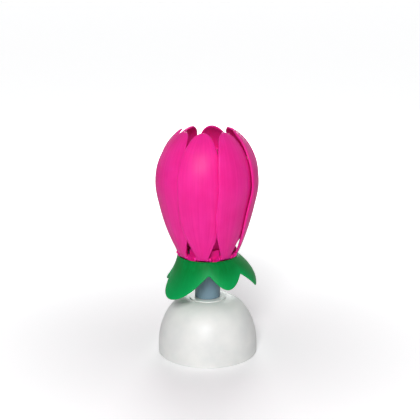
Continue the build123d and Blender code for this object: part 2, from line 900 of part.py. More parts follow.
def main():
    """Build every node."""
    petal, candle, wick = make_petal(), make_candle(), make_wick()
    for number, angle in enumerate(petal_angles(), start=1):
        turn = Rot(0, 0, angle)
        save(f"petal_{number}", turn * petal)
        save(f"candle_{number}", turn * candle)
        save(f"wick_{number}", turn * wick)
    save("hub", make_hub())
    save("hub_screws", make_hub_screws())
    save("hinge_pins", make_hinge_pins())
    save("calyx", make_calyx())
    save("inner_petals", make_inner_petals())
    save("fountain_cup", make_fountain_cup())
    for name, shape in zip(("fountain_tube", "fountain_charge", "fountain_fuse"), make_fountain()):
        save(name, shape)
    save("spindle", make_spindle())
    save("spindle_clip", make_clip())
    save("push_rod", make_push_rod())
    save("plunger_spring", make_plunger_spring())
    for name, shape in zip(("drive_gear", "idler_gear", "pinion"), make_gears()):
        save(name, shape)
    save("base_shell", make_base_shell())
    save("base_floor", make_base_floor())
    save("floor_screws", make_floor_screws())
    save("battery_cell", make_battery())
    for name, shape in zip(("contact_plate", "contact_spring"), make_contacts()):
        save(name, shape)
    save("idler_axle", make_idler_axle())
    save("gearbox_plate", make_gearbox_plate())
    for name, shape in zip(("switch_leaf_fixed", "switch_leaf_moving"), make_leaves()):
        save(name, shape)
    for name, shape in zip(("motor_can", "motor_end_cap", "motor_shaft"), make_motor()):
        save(name, shape)
    for name, shape in zip(("circuit_board", "chip_blob"), make_board()):
        save(name, shape)
    for name, shape in zip(("buzzer_disc", "buzzer_ceramic"), make_buzzer()):
        save(name, shape)


main()
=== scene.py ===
"""Flower-shaped party candle: a closed lotus bud on a round musical base."""
from math import asin, atan2, cos, exp, pi, radians, sin, sqrt

import bmesh
import bpy
from mathutils import Matrix, Vector


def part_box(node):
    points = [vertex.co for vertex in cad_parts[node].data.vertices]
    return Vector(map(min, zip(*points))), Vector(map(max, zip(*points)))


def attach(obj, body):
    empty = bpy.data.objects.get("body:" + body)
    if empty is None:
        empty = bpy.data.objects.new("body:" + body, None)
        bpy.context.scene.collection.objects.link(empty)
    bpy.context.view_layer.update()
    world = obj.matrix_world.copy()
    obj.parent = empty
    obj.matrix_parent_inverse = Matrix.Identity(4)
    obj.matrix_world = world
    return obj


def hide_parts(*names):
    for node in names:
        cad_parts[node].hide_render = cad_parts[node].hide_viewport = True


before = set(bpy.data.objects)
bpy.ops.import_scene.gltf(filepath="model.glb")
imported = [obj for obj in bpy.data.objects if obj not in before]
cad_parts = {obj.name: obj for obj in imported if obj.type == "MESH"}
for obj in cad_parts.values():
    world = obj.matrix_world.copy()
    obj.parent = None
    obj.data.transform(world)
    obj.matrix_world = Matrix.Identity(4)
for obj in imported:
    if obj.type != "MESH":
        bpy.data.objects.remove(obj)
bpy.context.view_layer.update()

# Base floor. A round plate moulded in white styrene, with a cradle for the cell, pillars for the
# gearbox and a ring of small holes that lets the tune out. Three steel screws hold it in the dome.


def paint(red, green, blue):
    """Linear colour of a paint chip read in 0 to 255 steps."""
    chips = [level / 255 for level in (red, green, blue)]
    return tuple(c / 12.92 if c <= 0.04045 else ((c + 0.055) / 1.055) ** 2.4 for c in chips) + (1.0,)


def start_material(name):
    """Empty material with a Principled shader on its output."""
    material = bpy.data.materials.new(name)
    material.use_nodes = True
    tree = material.node_tree
    tree.nodes.clear()
    output = tree.nodes.new("ShaderNodeOutputMaterial")
    shader = tree.nodes.new("ShaderNodeBsdfPrincipled")
    tree.links.new(shader.outputs["BSDF"], output.inputs["Surface"])
    return material, tree, shader


def place_on(tree, kind="Object", stretch=(1, 1, 1), turn=(0, 0, 0)):
    """Coordinates for a pattern, stretched or turned."""
    source = tree.nodes.new("ShaderNodeTexCoord").outputs[kind]
    mapping = tree.nodes.new("ShaderNodeMapping")
    mapping.inputs["Scale"].default_value = stretch
    mapping.inputs["Rotation"].default_value = turn
    tree.links.new(source, mapping.inputs["Vector"])
    return mapping.outputs["Vector"]


def noise(tree, place, size, detail=3.0, warp=0.0):
    """Cloudy pattern whose blotches are about that many metres across."""
    node = tree.nodes.new("ShaderNodeTexNoise")
    node.inputs["Scale"].default_value = 1 / size
    node.inputs["Detail"].default_value = detail
    node.inputs["Distortion"].default_value = warp
    tree.links.new(place, node.inputs["Vector"])
    return node.outputs["Fac"]


def ramp(tree, source, low, high, first=0.0, last=1.0):
    """Value that runs from first to last while source runs from low to high."""
    node = tree.nodes.new("ShaderNodeMapRange")
    node.inputs["From Min"].default_value = low
    node.inputs["From Max"].default_value = high
    node.inputs["To Min"].default_value = first
    node.inputs["To Max"].default_value = last
    tree.links.new(source, node.inputs["Value"])
    return node.outputs["Result"]


def vary(tree, pattern, first=0.0, last=1.0):
    """Value from first to last over the middle of a noise pattern's range, where most of it lies."""
    return ramp(tree, pattern, 0.3, 0.7, first, last)


def blend_colours(tree, factor, first, last):
    """Colour between two, each a paint or another node's output."""
    node = tree.nodes.new("ShaderNodeMix")
    node.data_type = "RGBA"
    tree.links.new(factor, node.inputs["Factor"])
    for socket, colour in ((node.inputs[6], first), (node.inputs[7], last)):
        if isinstance(colour, tuple):
            socket.default_value = colour
        else:
            tree.links.new(colour, socket)
    return node.outputs[2]


def relief(tree, height, depth, under=None):
    """Bump of a real depth in metres, on top of another bump."""
    node = tree.nodes.new("ShaderNodeBump")
    node.inputs["Distance"].default_value = depth
    tree.links.new(height, node.inputs["Height"])
    if under is not None:
        tree.links.new(under, node.inputs["Normal"])
    return node.outputs["Normal"]


def moulded(name, light, dark, gloss, grain, cloud=0.012, glow=0.0, shine=0.5):
    """Moulded plastic: two close tones in clouds, uneven gloss and a fine grain."""
    gloss_swing = 0.04
    grain_depth = grain / 60
    cloud_depth = grain / 12
    material, tree, shader = start_material(name)
    place = place_on(tree)
    clouds = noise(tree, place, cloud)
    tone = ramp(tree, clouds, low=0.35, high=0.65)
    tree.links.new(blend_colours(tree, tone, light, dark), shader.inputs["Base Color"])
    fine = noise(tree, place, grain, detail=2.0)
    tree.links.new(vary(tree, fine, gloss - gloss_swing, gloss + gloss_swing), shader.inputs["Roughness"])
    shader.inputs["Specular IOR Level"].default_value = shine
    tree.links.new(
        relief(tree, fine, grain_depth, under=relief(tree, clouds, cloud_depth)), shader.inputs["Normal"])
    if glow:
        shader.inputs["Subsurface Weight"].default_value = glow
        shader.inputs["Subsurface Radius"].default_value = (1.0, 0.5, 0.5)
        shader.inputs["Subsurface Scale"].default_value = 0.0012
    return material


def metal(name, light, dark, gloss):
    """Bare metal with fine drawn streaks."""
    streak_pitch = 0.0006
    streak_depth = streak_pitch / 40
    streak_dullness = 0.16
    material, tree, shader = start_material(name)
    lines = noise(tree, place_on(tree, stretch=(1, 1, 12)), streak_pitch, detail=4.0)
    tree.links.new(blend_colours(tree, lines, light, dark), shader.inputs["Base Color"])
    tree.links.new(vary(tree, lines, gloss, gloss + streak_dullness), shader.inputs["Roughness"])
    tree.links.new(relief(tree, lines, streak_depth), shader.inputs["Normal"])
    shader.inputs["Metallic"].default_value = 1.0
    return material


def dress(node, material):
    """Gives a node of the solid model its material."""
    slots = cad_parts[node].data.materials
    slots.clear()
    slots.append(material)


base_white = moulded(
    "white_styrene", light=paint(234, 234, 231), dark=paint(225, 226, 224), gloss=0.42, grain=0.0009,
    glow=0.05)
screw_steel = metal(
    "zinc_plated_steel", light=paint(205, 207, 210), dark=paint(150, 152, 158), gloss=0.24)
dress("base_floor", base_white)
dress("floor_screws", screw_steel)

# Cell and contacts. One AAA cell in a plain dark sleeve lies in the cradle between a flat plus
# contact and a bowed minus spring, both stamped from plated steel strip.

sleeve, tree, shader = start_material("cell_sleeve")
scuffs = noise(tree, place_on(tree, stretch=(1, 6, 6)), size=0.0016, detail=5.0)
worn = ramp(tree, scuffs, low=0.55, high=0.75)
tree.links.new(
    blend_colours(tree, worn, paint(38, 40, 46), paint(84, 86, 92)), shader.inputs["Base Color"])
tree.links.new(vary(tree, scuffs, 0.22, 0.4), shader.inputs["Roughness"])
tree.links.new(relief(tree, scuffs, depth=0.00002), shader.inputs["Normal"])
spring_steel = metal("nickel_strip", light=paint(214, 211, 203), dark=paint(168, 165, 160), gloss=0.2)
dress("battery_cell", sleeve)
dress("contact_plate", spring_steel)
dress("contact_spring", spring_steel)

# Tune board and buzzer. A green laminate board with an epoxy blob over the chip plays the tune
# through a brass disc with a silvered ceramic, glued over the sound holes.


def bands(tree, place, size, along="X", warp=0.0, profile="SIN"):
    """Parallel stripes of that pitch across one direction."""
    node = tree.nodes.new("ShaderNodeTexWave")
    node.wave_type = "BANDS"
    node.bands_direction = along
    node.wave_profile = profile
    node.inputs["Scale"].default_value = pi / 10 / size
    node.inputs["Distortion"].default_value = warp
    tree.links.new(place, node.inputs["Vector"])
    return node.outputs["Fac"]


laminate, tree, shader = start_material("green_laminate")
stripes = bands(tree, place_on(tree, turn=(0, 0, pi / 4)), size=0.0018, warp=3.0)
tracks = ramp(tree, stripes, low=0.45, high=0.55)
tree.links.new(
    blend_colours(tree, tracks, paint(28, 92, 52), paint(48, 122, 70)), shader.inputs["Base Color"])
tree.links.new(relief(tree, tracks, depth=0.00003), shader.inputs["Normal"])
shader.inputs["Roughness"].default_value = 0.35
epoxy = moulded("black_epoxy", light=paint(24, 24, 25), dark=paint(40, 40, 42), gloss=0.22, grain=0.0012)
brass = metal("brass_sheet", light=paint(214, 176, 96), dark=paint(176, 136, 66), gloss=0.22)
silvered = moulded(
    "silvered_ceramic", light=paint(222, 221, 212), dark=paint(196, 196, 190), gloss=0.42, grain=0.0006,
    cloud=0.003)
dress("circuit_board", laminate)
dress("chip_blob", epoxy)
dress("buzzer_disc", brass)
dress("buzzer_ceramic", silvered)

# Motor, gearbox plate and wheels. A small can motor drives the spindle's wheel through a double
# idler on a pressed-in axle. The wheels are cut in natural nylon and the pinion in brass.

nylon = moulded(
    "natural_nylon", light=paint(240, 236, 222), dark=paint(226, 221, 204), gloss=0.38, grain=0.0007,
    cloud=0.005, glow=0.1)
for node in ("motor_end_cap", "drive_gear", "idler_gear"):
    dress(node, nylon)
for node in ("motor_can", "motor_shaft", "idler_axle", "spindle_clip"):
    dress(node, screw_steel)
dress("pinion", brass)
dress("gearbox_plate", base_white)

# Switch leaves. Two springy brass strips in one block, pressed apart by the plunger's rod while
# the petals are closed.

dress("switch_leaf_fixed", brass)
dress("switch_leaf_moving", brass)

# Dome of the base. One white styrene moulding with a straight skirt, a domed top and the collar
# that the spindle turns in. It is screwed to the floor plate.

dress("base_shell", base_white)

# Spindle. A light blue-grey moulding: the neck seen under the calyx, a flange for the hub screws
# and a tail that turns in the collar. The sprung plunger of the switch slides inside it.

neck_grey = moulded(
    "neck_grey_styrene", light=paint(114, 141, 156), dark=paint(100, 127, 143), gloss=0.42, grain=0.0009)
dress("spindle", neck_grey)
dress("push_rod", neck_grey)
dress("plunger_spring", screw_steel)

# Hub. A magenta moulding under the petals with a slotted wall, two ears for each petal's hinge pin
# and three posts, which steel screws clamp to the spindle through the calyx.

hub_pink = moulded(
    "hub_magenta", light=paint(246, 34, 152), dark=paint(232, 24, 138), gloss=0.5, grain=0.0009,
    glow=0.3, shine=0.15)
dress("hub", hub_pink)
dress("fountain_cup", hub_pink)
dress("hub_screws", screw_steel)
dress("hinge_pins", hub_pink)

# Outer petals. Eight spoon-shaped shells, moulded thin in satin magenta plastic with a soft midrib
# and fine veins. Each swings on a thin pin and carries a cup for its small candle.

millimetre = 0.001
petal_count = 8
first_petal_angle = -99
hinge_r = 16.4
hinge_z = 60.2
petal_foot_z = 59.0
petal_height = 72.6
petal_wall = 1.2
petal_base_r = 17.05
petal_belly_r = 29.0
petal_base_half_w = 3.35
petal_belly_half_w = 12.2
petal_tip_half_w = 0.25
pinwheel_angle = 5.3
cross_share = 0.95
petal_columns = 18
petal_rows = 46
# Height, bulge, width and turn of each cross section, as shares
petal_sections = [
    (0.0, 0.0, 0.0, 0.0),
    (0.033, 0.088, 0.03, 0.0),
    (0.11, 0.28, 0.31, 0.74),
    (0.248, 0.565, 0.76, 1.0),
    (0.40, 0.807, 0.98, 1.0),
    (0.565, 1.0, 1.0, 1.0),
    (0.716, 0.933, 0.967, 1.0),
    (0.84, 0.66, 0.735, 1.0),
    (0.923, 0.33, 0.425, 1.0),
    (0.975, 0.0, 0.10, 1.0),
    (1.0, -0.2, -0.32, 1.0),
]
midrib_height = 0.22
midrib_half_w = 0.9
vein_height = 0.07
vein_half_w = 0.7
vein_lanes = (0.26, 0.5, 0.74)
vein_taper = 1.05
vein_fullness = 0.6
ribs_start_share = 0.06
ribs_end_share = 0.86


def section_at(sections, share):
    """Bulge, width and turn at a height, on a smooth curve through the sections."""
    last = len(sections) - 1
    index = max(i for i in range(last) if sections[i][0] <= share)
    low, high = sections[index], sections[index + 1]
    before, after = sections[max(index - 1, 0)], sections[min(index + 2, last)]
    span = high[0] - low[0]
    t = (share - low[0]) / span
    values = []
    for k in (1, 2, 3):
        slope_low = (high[k] - before[k]) / (high[0] - before[0]) * span
        slope_high = (after[k] - low[k]) / (after[0] - low[0]) * span
        values.append(
            (2 * t ** 3 - 3 * t ** 2 + 1) * low[k] + (t ** 3 - 2 * t ** 2 + t) * slope_low
            + (3 * t ** 2 - 2 * t ** 3) * high[k] + (t ** 3 - t ** 2) * slope_high)
    return values


def bump_of(distance, width):
    """Height of a soft rib at a distance from its middle."""
    return exp(-(distance / width) ** 2)


def outer_ribs(across, share):
    """Midrib and side veins that stand proud of an outer petal's face."""
    fade = max(0.0, 1 - (share / ribs_end_share) ** 2) * min(1.0, share / ribs_start_share)
    rib = midrib_height * bump_of(across, midrib_half_w) * fade
    for lane_share in vein_lanes:
        lane = lane_share * petal_belly_half_w * sin(pi * min(1.0, share * vein_taper)) ** vein_fullness
        pair = bump_of(across - lane, vein_half_w) + bump_of(across + lane, vein_half_w)
        rib += vein_height * pair * fade
    return rib


def spoon_grid(bm, sections, foot, height, radii, half_widths, pinwheel, rows, ribs):
    """Grid bent into a petal's outer face, facing +X, in millimetres."""
    made = bmesh.ops.create_grid(bm, x_segments=petal_columns, y_segments=rows, size=1.0)
    uv = bm.loops.layers.uv.new("petal")
    for face in bm.faces:
        for loop in face.loops:
            loop[uv].uv = (loop.vert.co.x / 2 + 0.5, loop.vert.co.y / 2 + 0.5)
    for vert in made["verts"]:
        across, share = vert.co.x, vert.co.y / 2 + 0.5
        bulge, width, twist = section_at(sections, share)
        radius = radii[0] + bulge * (radii[1] - radii[0])
        half_w = max(half_widths[0] + width * (half_widths[1] - half_widths[0]), petal_tip_half_w)
        bend = radius * cross_share
        angle = across * asin(min(half_w / bend, 1.0))
        rise = ribs(across * half_w, share)
        point = Vector(((bend + rise) * cos(angle) - bend, (bend + rise) * sin(angle), 0))
        point.rotate(Matrix.Rotation(radians(twist * pinwheel), 3, "Z"))
        vert.co = (radius + point.x, point.y, foot + share * height)


def to_object(bm, name, turn=0.0):
    """Object at the origin from a mesh in millimetres, turned about Z by degrees."""
    bmesh.ops.transform(
        bm, matrix=Matrix.Rotation(radians(turn), 4, "Z") @ Matrix.Scale(millimetre, 4), verts=bm.verts)
    mesh = bpy.data.meshes.new(name)
    bm.to_mesh(mesh)
    bm.free()
    for face in mesh.polygons:
        face.use_smooth = True
    piece = bpy.data.objects.new(name, mesh)
    bpy.context.scene.collection.objects.link(piece)
    return piece


def give_wall(piece, wall):
    """Thickens a sheet inwards from its outer face, rounds its edges and applies both."""
    solid = piece.modifiers.new("wall", "SOLIDIFY")
    solid.thickness = wall * millimetre
    solid.offset = -1.0
    round_off = piece.modifiers.new("round", "SUBSURF")
    round_off.levels = 1
    round_off.render_levels = 1
    graph = bpy.context.evaluated_depsgraph_get()
    mesh = bpy.data.meshes.new_from_object(piece.evaluated_get(graph))
    piece.modifiers.clear()
    piece.data = mesh
    for face in mesh.polygons:
        face.use_smooth = True


petal_pink, tree, shader = start_material("satin_magenta")
place = place_on(tree)
streaks = noise(tree, place_on(tree, "UV", stretch=(26, 1.6, 1)), size=1.0, warp=0.4)
tone = vary(tree, noise(tree, place, size=0.016))
body_colour = blend_colours(tree, tone, paint(249, 47, 158), paint(240, 35, 145))
streak_strength = ramp(tree, streaks, low=0.35, high=0.75, last=0.45)
tree.links.new(
    blend_colours(tree, streak_strength, body_colour, paint(222, 18, 126)), shader.inputs["Base Color"])
tree.links.new(vary(tree, streaks, 0.36, 0.48), shader.inputs["Roughness"])
grain = relief(tree, noise(tree, place, size=0.0008), depth=0.00001)
tree.links.new(relief(tree, streaks, depth=0.00007, under=grain), shader.inputs["Normal"])
shader.inputs["Specular IOR Level"].default_value = 0.16
shader.inputs["Subsurface Weight"].default_value = 0.3
shader.inputs["Subsurface Radius"].default_value = (1.0, 0.35, 0.5)
shader.inputs["Subsurface Scale"].default_value = 0.004

knuckle_r = 1.05
knuckle_half_w = 3.35
knuckle_edge = 0.2
knuckle_profile = [
    (0, -knuckle_half_w),
    (knuckle_r - knuckle_edge, -knuckle_half_w),
    (knuckle_r, knuckle_edge - knuckle_half_w),
    (knuckle_r, knuckle_half_w - knuckle_edge),
    (knuckle_r - knuckle_edge, knuckle_half_w),
    (0, knuckle_half_w),
]
knuckle_segments = 20
heel_length = 4.4
heel_size = (heel_length, 2.4, 1.0)
block_edge = 0.2
cup_r = 3.75
cup_bore_r = 2.85
cup_height = 4.0
cup_floor = 1.2
cup_embed = 6.0
cup_lip = 0.3
cup_mouth = 0.15
cup_mouth_depth = 0.2
cup_profile = [
    (0, 0),
    (cup_r, 0),
    (cup_r, cup_height - cup_lip),
    (cup_r - cup_lip, cup_height),
    (cup_bore_r + cup_mouth, cup_height),
    (cup_bore_r, cup_height - cup_mouth_depth),
    (cup_bore_r, cup_floor),
    (0, cup_floor),
]
cup_segments = 32
cup_root_step = 0.05
candle_reach = 52.5
candle_tilt = 10
candle_height = hinge_z + candle_reach
seat_share = (candle_height - petal_foot_z) / petal_height
seat_r = petal_base_r + section_at(petal_sections, seat_share)[0] * (petal_belly_r - petal_base_r)
seat_z_axis = Vector((-cos(radians(candle_tilt)), 0, sin(radians(candle_tilt))))
seat_x_axis = Vector((0, 1, 0))
seat_y_axis = seat_z_axis.cross(seat_x_axis)
candle_seat = Matrix.Translation((seat_r - petal_wall, 0, candle_height)) @ Matrix(
    (seat_x_axis, seat_y_axis, seat_z_axis)).transposed().to_4x4()
weld_gap = 1e-5


def turned_ring(bm, profile, segments, matrix=None):
    """Closed ring or cup: a profile of radius and height pairs, spun about Z."""
    others = set(bm.verts)
    verts = [bm.verts.new((radius, 0, height)) for radius, height in profile]
    edges = [bm.edges.new(pair) for pair in zip(verts, verts[1:])]
    bmesh.ops.spin(
        bm, geom=verts + edges, cent=(0, 0, 0), axis=(0, 0, 1), dvec=(0, 0, 0), angle=2 * pi,
        steps=segments, use_merge=True, use_duplicate=False)
    ring = [vert for vert in bm.verts if vert not in others]
    bmesh.ops.remove_doubles(bm, verts=ring, dist=weld_gap)
    ring = [vert for vert in bm.verts if vert not in others]
    bmesh.ops.recalc_face_normals(bm, faces=[face for face in bm.faces if face.verts[0] not in others])
    if matrix is not None:
        bmesh.ops.transform(bm, matrix=matrix, verts=ring)
    return ring


def rounded_block(bm, size, middle):
    """Block about a point, with bevelled edges."""
    block = bmesh.ops.create_cube(bm, size=1.0)["verts"]
    bmesh.ops.transform(
        bm, verts=block, matrix=Matrix.Translation(middle) @ Matrix.Diagonal((*size, 1)))
    bmesh.ops.bevel(
        bm, geom=[edge for edge in bm.edges if edge.verts[0] in block], offset=block_edge, segments=2,
        affect="EDGES", profile=0.5, material=-1)


def cup_root(point):
    """Depth at which a line of the candle cup's wall ends inside the petal's wall."""
    depth = cup_height
    while depth > -cup_embed:
        spot = candle_seat @ Vector((point.x, point.y, depth))
        share = (spot.z - petal_foot_z) / petal_height
        radius = petal_base_r + section_at(petal_sections, share)[0] * (petal_belly_r - petal_base_r)
        reach = radius * (1 - cross_share) + sqrt((radius * cross_share) ** 2 - spot.y ** 2)
        if spot.x > reach - petal_wall / 2:
            break
        depth -= cup_root_step
    return depth


for index in range(petal_count):
    number = index + 1
    turn = first_petal_angle + 360 * index / petal_count
    bm = bmesh.new()
    spoon_grid(
        bm, petal_sections, petal_foot_z, petal_height, (petal_base_r, petal_belly_r),
        (petal_base_half_w, petal_belly_half_w), pinwheel_angle, petal_rows, outer_ribs)
    petal = to_object(bm, f"petal_blade_{number}", turn)
    give_wall(petal, petal_wall)
    bm = bmesh.new()
    turned_ring(
        bm, knuckle_profile, knuckle_segments,
        Matrix.Translation((hinge_r, 0, hinge_z)) @ Matrix.Rotation(pi / 2, 4, "X"))
    rounded_block(bm, heel_size, (hinge_r - heel_length / 2, 0, hinge_z))
    cup = turned_ring(bm, cup_profile, cup_segments)
    for vert in cup:
        if vert.co.z == 0:
            vert.co.z = cup_root(vert.co)
    bmesh.ops.transform(bm, matrix=candle_seat, verts=cup)
    fittings = to_object(bm, f"petal_fittings_{number}", turn)
    for piece in (petal, fittings):
        piece.data.materials.append(petal_pink)
        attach(piece, f"petal_{number}")
        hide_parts(f"petal_{number}")

# Small candles. Short sticks of pale pink wax with a melted crown, pushed into the petals' cups so
# that they stand up once the petals are open. A braided cotton wick stands in each.

wax, tree, shader = start_material("pale_pink_wax")
place = place_on(tree)
mottle = noise(tree, place, size=0.0035, detail=4.0)
tree.links.new(
    blend_colours(tree, mottle, paint(252, 226, 232), paint(244, 202, 214)), shader.inputs["Base Color"])
tree.links.new(vary(tree, mottle, 0.42, 0.56), shader.inputs["Roughness"])
dimples = noise(tree, place, size=0.0014, detail=2.0)
tree.links.new(relief(tree, dimples, depth=0.00005), shader.inputs["Normal"])
shader.inputs["Subsurface Weight"].default_value = 0.35
shader.inputs["Subsurface Radius"].default_value = (1.0, 0.55, 0.6)
shader.inputs["Subsurface Scale"].default_value = 0.002

cotton, tree, shader = start_material("waxed_cotton")
threads = noise(tree, place_on(tree), size=0.0004)
tree.links.new(
    blend_colours(tree, threads, paint(238, 232, 218), paint(196, 186, 168)), shader.inputs["Base Color"])
tree.links.new(relief(tree, threads, depth=0.00004), shader.inputs["Normal"])
shader.inputs["Roughness"].default_value = 0.85
shader.inputs["Sheen Weight"].default_value = 0.2

candle_r = 2.8
candle_length = 13.0
candle_low = cup_floor
candle_high = candle_low + candle_length
candle_foot_edge = 0.15
# How far each point of the melted crown lies in from the side and down from the top
crown_points = [(0.0, 1.0), (0.12, 0.55), (0.45, 0.2), (0.9, 0.0)]
# Radius of each point of the pool round the wick, and how far it lies down from the top
pool_points = [(1.3, 0.12), (0.8, 0.35), (0.0, 0.4)]
candle_profile = [
    (0, candle_low),
    (candle_r - candle_foot_edge, candle_low),
    (candle_r, candle_low + candle_foot_edge),
    *[(candle_r - inset, candle_high - drop) for inset, drop in crown_points],
    *[(radius, candle_high - drop) for radius, drop in pool_points],
]
candle_segments = 40
wick_r = 0.5
wick_length = 8.5
wick_socket = 4.0
wick_low = candle_high - wick_socket
wick_high = wick_low + wick_length
wick_turns = 4
wick_steps = 40
strand_lobes = 3
strand_groove = 0.14


def twisted_strand(bm, radius, low, high, turns, steps, matrix=None):
    """Twisted cord: a lobed outline drawn upwards and turned step by step, closed at both ends."""
    outline = bmesh.ops.create_circle(
        bm, cap_ends=True, segments=strand_lobes * 4, radius=radius)["verts"]
    for vert in outline:
        angle = Vector((1, 0)).angle_signed(vert.co.to_2d(), 0.0)
        vert.co *= 1 - strand_groove + strand_groove * cos(strand_lobes * angle)
    bmesh.ops.translate(bm, verts=outline, vec=(0, 0, low))
    drawn = bmesh.ops.spin(
        bm, geom=list(bm.edges), cent=(0, 0, 0), axis=(0, 0, 1), dvec=(0, 0, (high - low) / steps),
        angle=2 * pi * turns, steps=steps, use_merge=False, use_duplicate=False)
    last_ring = [item for item in drawn["geom_last"] if isinstance(item, bmesh.types.BMEdge)]
    bmesh.ops.edgeloop_fill(bm, edges=last_ring)
    bmesh.ops.recalc_face_normals(bm, faces=bm.faces)
    if matrix is not None:
        bmesh.ops.transform(bm, matrix=matrix, verts=bm.verts)


for index in range(petal_count):
    number = index + 1
    turn = first_petal_angle + 360 * index / petal_count
    bm = bmesh.new()
    turned_ring(bm, candle_profile, candle_segments, candle_seat)
    candle = to_object(bm, f"wax_stick_{number}", turn)
    candle.data.materials.append(wax)
    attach(candle, f"petal_{number}")
    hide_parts(f"candle_{number}")
    bm = bmesh.new()
    twisted_strand(bm, wick_r, wick_low, wick_high, wick_turns, wick_steps, candle_seat)
    wick = to_object(bm, f"cotton_wick_{number}", turn)
    wick.data.materials.append(cotton)
    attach(wick, f"petal_{number}")
    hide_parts(f"wick_{number}")

# Calyx. A thin satin green moulding under the petals: a shallow dish with a skirt that droops in
# five uneven sepals, each with fine veins and a rounded edge.

calyx_wall = 1.0
rim_r = 17.4
rim_z = 58.6
dish_z = 56.0
dish_r = 15.6
dish_bore_r = 3.15
dish_under_r = dish_r + 0.8
dish_under_z = dish_z - calyx_wall
dish_fillet = 0.1
# How far each point of the rolled rim lies in from its radius and down from its top
rim_points = [(0.4, 1.6), (0.1, 0.4), (0.2, 0.05), (0.45, 0.0)]
dish_profile = [
    (dish_bore_r, dish_under_z),
    (dish_under_r, dish_under_z),
    *[(rim_r - inset, rim_z - drop) for inset, drop in rim_points],
    (dish_r + dish_fillet, dish_z + dish_fillet),
    (dish_r - 2 * dish_fillet, dish_z),
    (dish_bore_r, dish_z),
    (dish_bore_r, dish_under_z),
]
dish_segments = 96
skirt_flare = 12.0
skirt_drop = 22.2
skirt_shift = 2.6
# Drop, flare and sideways shift of the skirt's sections, as shares
skirt_sections = [(0.0, 0.0, 0.0), (0.48, 0.565, 1.0), (1.0, 1.0, -0.85)]
notch_azimuths = [2, 52, 130, 200, 266]
notch_shares = [0.30, 0.325, 0.38, 0.38, 0.36]
lobe_tip_shares = [0.63, 0.85, 0.76, 0.91, 0.92]
lobe_fullness = 1.2
lobe_lift = 0.25
notch_tuck = 0.3
front_azimuth = 90
skirt_step = 2
skirt_rows = 16


def skirt_radius(azimuth, drop):
    """Distance of the skirt from the axis, on a parabola through its sections."""
    values = []
    for k in (1, 2):
        value = 0.0
        for row in skirt_sections:
            weight = row[k]
            for other in skirt_sections:
                if other is not row:
                    weight *= (drop - other[0]) / (row[0] - other[0])
            value += weight
        values.append(value)
    radius, shift = rim_r + values[0] * skirt_flare, values[1] * skirt_shift
    return shift * cos(azimuth) + sqrt(radius ** 2 - (shift * sin(azimuth)) ** 2)


def hem_height(azimuth):
    """Height of the skirt's edge at an azimuth: notches with rounded sepals between them."""
    count = len(notch_azimuths)
    for index in range(count):
        start = notch_azimuths[index]
        width = (notch_azimuths[(index + 1) % count] - start) % 360
        offset = (azimuth - start) % 360
        if offset <= width:
            part = 1 - abs(2 * offset / width - 1)
            notch = notch_shares[index if 2 * offset < width else (index + 1) % count]
            droop = notch + (lobe_tip_shares[index] - notch) * sin(pi / 2 * part ** lobe_fullness)
            return rim_z - droop * skirt_drop, part
    return rim_z - notch_shares[0] * skirt_drop, 0.0


calyx_green, tree, shader = start_material("calyx_green")
veins = noise(tree, place_on(tree, "UV", stretch=(90, 2.2, 1)), size=1.0, warp=0.6)
tone = vary(tree, noise(tree, place_on(tree), size=0.012))
leaf_colour = blend_colours(tree, tone, paint(0, 128, 54), paint(0, 113, 46))
# Painted light: the green turns lighter down each sepal towards the hem. It stands in for lit lower lobes
# under an upper skirt that lies in the bud's shade.
down_sepal = tree.nodes.new("ShaderNodeSeparateXYZ")
tree.links.new(place_on(tree, "UV"), down_sepal.inputs["Vector"])
painted_hem_light = ramp(tree, down_sepal.outputs["Y"], low=0.3, high=1.0)
leaf_colour = blend_colours(tree, painted_hem_light, leaf_colour, paint(10, 158, 82))
vein_strength = ramp(tree, veins, low=0.4, high=0.75, last=0.35)
tree.links.new(
    blend_colours(tree, vein_strength, leaf_colour, paint(12, 152, 76)), shader.inputs["Base Color"])
tree.links.new(vary(tree, veins, 0.38, 0.5), shader.inputs["Roughness"])
tree.links.new(relief(tree, veins, depth=0.00009), shader.inputs["Normal"])
shader.inputs["Specular IOR Level"].default_value = 0.08
shader.inputs["Subsurface Weight"].default_value = 0.1
shader.inputs["Subsurface Radius"].default_value = (0.4, 1.0, 0.5)
shader.inputs["Subsurface Scale"].default_value = 0.0012

bm = bmesh.new()
verts = [bm.verts.new((rim_r, 0, rim_z - row)) for row in range(skirt_rows + 1)]
edges = [bm.edges.new(pair) for pair in zip(verts, verts[1:])]
bmesh.ops.spin(
    bm, geom=verts + edges, cent=(0, 0, 0), axis=(0, 0, 1), dvec=(0, 0, 0), angle=2 * pi,
    steps=360 // skirt_step, use_merge=True, use_duplicate=False)
bmesh.ops.remove_doubles(bm, verts=bm.verts, dist=weld_gap)
uv = bm.loops.layers.uv.new("sepal")
for face in bm.faces:
    middle = face.calc_center_median()
    for loop in face.loops:
        turn = atan2(loop.vert.co.y, loop.vert.co.x) / (2 * pi) % 1.0
        around = atan2(middle.y, middle.x) / (2 * pi) % 1.0
        turn += round(around - turn)
        loop[uv].uv = (turn, (rim_z - loop.vert.co.z) / skirt_rows)
for vert in bm.verts:
    azimuth = atan2(vert.co.y, vert.co.x)
    share = (rim_z - vert.co.z) / skirt_rows
    edge_z, part = hem_height(azimuth * 180 / pi + front_azimuth)
    height = rim_z + share * (edge_z - rim_z)
    radius = skirt_radius(azimuth, (rim_z - height) / skirt_drop)
    radius += lobe_lift * share ** 2 * part - notch_tuck * share ** 3 * (1 - part)
    vert.co = (radius * cos(azimuth), radius * sin(azimuth), height)
bmesh.ops.recalc_face_normals(bm, faces=bm.faces)
skirt = to_object(bm, "calyx_skirt")
give_wall(skirt, calyx_wall)
bm = bmesh.new()
turned_ring(bm, dish_profile, dish_segments)
dish = to_object(bm, "calyx_dish")
for piece in (skirt, dish):
    piece.data.materials.append(calyx_green)
    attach(piece, "flower")
    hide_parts("calyx")

# Fountain. A rolled paper tube of pressed powder in the carrier's cup, with a twisted paper fuse
# that stands out of its top.

